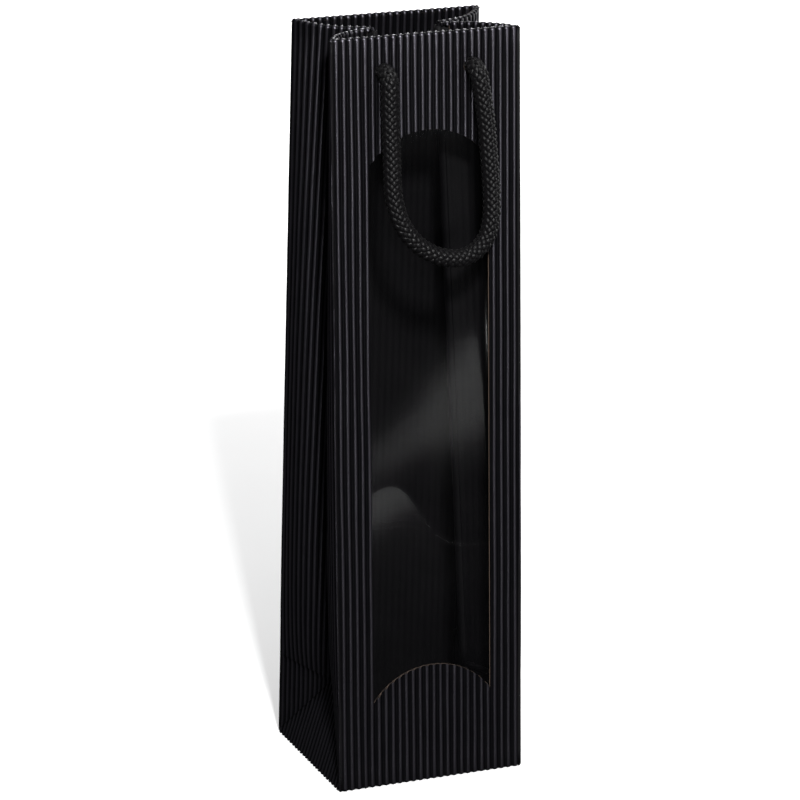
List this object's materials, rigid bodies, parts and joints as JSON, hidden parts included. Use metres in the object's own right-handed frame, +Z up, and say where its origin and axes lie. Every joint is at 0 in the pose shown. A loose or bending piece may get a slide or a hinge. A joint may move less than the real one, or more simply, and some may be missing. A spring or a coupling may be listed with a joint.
{
  "type": "wine gift bag",
  "caption": "Tall black gift bag of open-flute board for one wine bottle, with an arched clear window, folded-in sides and braided cord handles.",
  "frame": {"origin": "middle of the bottom, on the surface that the bag stands on", "axes": "+Z up through the mouth, -Y out of the front panel with the window, X across the front"},
  "size_m": [0.0952, 0.084, 0.3596],
  "materials": {
    "flute_board": "black open-flute corrugated board, ribs outside, smooth liner inside",
    "cord": "black diamond braid",
    "film": "clear glossy film",
    "card": "smooth dark card"
  },
  "bodies": {
    "base": {"bottom_front_flap": "flute_board", "bottom_back_flap": "flute_board", "bottom_side_flaps": "flute_board", "bottom_card": "card"},
    "front": {"front_panel": "flute_board", "front_hem": "flute_board", "window_film": "film", "front_cord_knots": "cord"},
    "back": {"back_panel": "flute_board", "back_hem": "flute_board", "seam_flap": "flute_board", "back_cord_knots": "cord"},
    "left_side_front": {"left_side_front": "flute_board", "left_side_front_hem": "flute_board"},
    "left_corner_front": {"left_corner_front": "flute_board"},
    "left_side_back": {"left_side_back": "flute_board", "left_side_back_hem": "flute_board"},
    "left_corner_back": {"left_corner_back": "flute_board"},
    "left_foot": {"left_foot": "flute_board"},
    "right_side_front": {"right_side_front": "flute_board", "right_side_front_hem": "flute_board"},
    "right_corner_front": {"right_corner_front": "flute_board"},
    "right_side_back": {"right_side_back": "flute_board", "right_side_back_hem": "flute_board"},
    "right_corner_back": {"right_corner_back": "flute_board"},
    "right_foot": {"right_foot": "flute_board"},
    "front_handle": {"front_cord": "cord"},
    "back_handle": {"back_cord": "cord"}
  },
  "joints": [
    {"name": "mouth", "type": "hinge", "parent": "base", "child": "front", "pos_m": [0, -0.042, 0], "axis": [1, 0, 0], "range_deg": [-1.2, 2]},
    {"name": "back_lean", "type": "hinge", "parent": "base", "child": "back", "pos_m": [0, 0.042, 0], "axis": [-1, 0, 0], "range_deg": [-1.2, 2]},
    {"name": "left_front_fold", "type": "hinge", "parent": "front", "child": "left_side_front", "pos_m": [-0.0475, -0.042, 0], "axis": [0, 0.0472, 0.9989], "range_deg": [-16.2, 27]},
    {"name": "left_front_corner_fold", "type": "hinge", "parent": "front", "child": "left_corner_front", "pos_m": [-0.0475, -0.042, 0], "axis": [0, 0.0472, 0.9989], "range_deg": [-4.8, 8]},
    {"name": "left_back_fold", "type": "hinge", "parent": "back", "child": "left_side_back", "pos_m": [-0.0475, 0.042, 0], "axis": [0, 0.0472, -0.9989], "range_deg": [-16.2, 27]},
    {"name": "left_back_corner_fold", "type": "hinge", "parent": "back", "child": "left_corner_back", "pos_m": [-0.0475, 0.042, 0], "axis": [0, 0.0472, -0.9989], "range_deg": [-4.8, 8]},
    {"name": "left_foot_fold", "type": "hinge", "parent": "base", "child": "left_foot", "pos_m": [-0.0475, 0, 0], "axis": [0, -1, 0], "range_deg": [-4.8, 8]},
    {"name": "right_front_fold", "type": "hinge", "parent": "front", "child": "right_side_front", "pos_m": [0.0475, -0.042, 0], "axis": [0, -0.0472, -0.9989], "range_deg": [-16.2, 27]},
    {"name": "right_front_corner_fold", "type": "hinge", "parent": "front", "child": "right_corner_front", "pos_m": [0.0475, -0.042, 0], "axis": [0, -0.0472, -0.9989], "range_deg": [-4.8, 8]},
    {"name": "right_back_fold", "type": "hinge", "parent": "back", "child": "right_side_back", "pos_m": [0.0475, 0.042, 0], "axis": [0, -0.0472, 0.9989], "range_deg": [-16.2, 27]},
    {"name": "right_back_corner_fold", "type": "hinge", "parent": "back", "child": "right_corner_back", "pos_m": [0.0475, 0.042, 0], "axis": [0, -0.0472, 0.9989], "range_deg": [-4.8, 8]},
    {"name": "right_foot_fold", "type": "hinge", "parent": "base", "child": "right_foot", "pos_m": [0.0475, 0, 0], "axis": [0, 1, 0], "range_deg": [-4.8, 8]},
    {"name": "front_handle_swing", "type": "hinge", "parent": "front", "child": "front_handle", "pos_m": [0.001, -0.03379, 0.34299], "axis": [-1, 0, 0], "range_deg": [0, 175]},
    {"name": "back_handle_swing", "type": "hinge", "parent": "back", "child": "back_handle", "pos_m": [0.001, 0.03379, 0.34299], "axis": [1, 0, 0], "range_deg": [0, 175]}
  ],
  "couplings": [
    {"joint": "back_lean", "follows": "mouth", "ratio": 1},
    {"joint": "left_front_fold", "follows": "mouth", "ratio": 13.5},
    {"joint": "left_front_corner_fold", "follows": "mouth", "ratio": 4},
    {"joint": "left_back_fold", "follows": "mouth", "ratio": 13.5},
    {"joint": "left_back_corner_fold", "follows": "mouth", "ratio": 4},
    {"joint": "left_foot_fold", "follows": "mouth", "ratio": 4},
    {"joint": "right_front_fold", "follows": "mouth", "ratio": 13.5},
    {"joint": "right_front_corner_fold", "follows": "mouth", "ratio": 4},
    {"joint": "right_back_fold", "follows": "mouth", "ratio": 13.5},
    {"joint": "right_back_corner_fold", "follows": "mouth", "ratio": 4},
    {"joint": "right_foot_fold", "follows": "mouth", "ratio": 4}
  ]
}
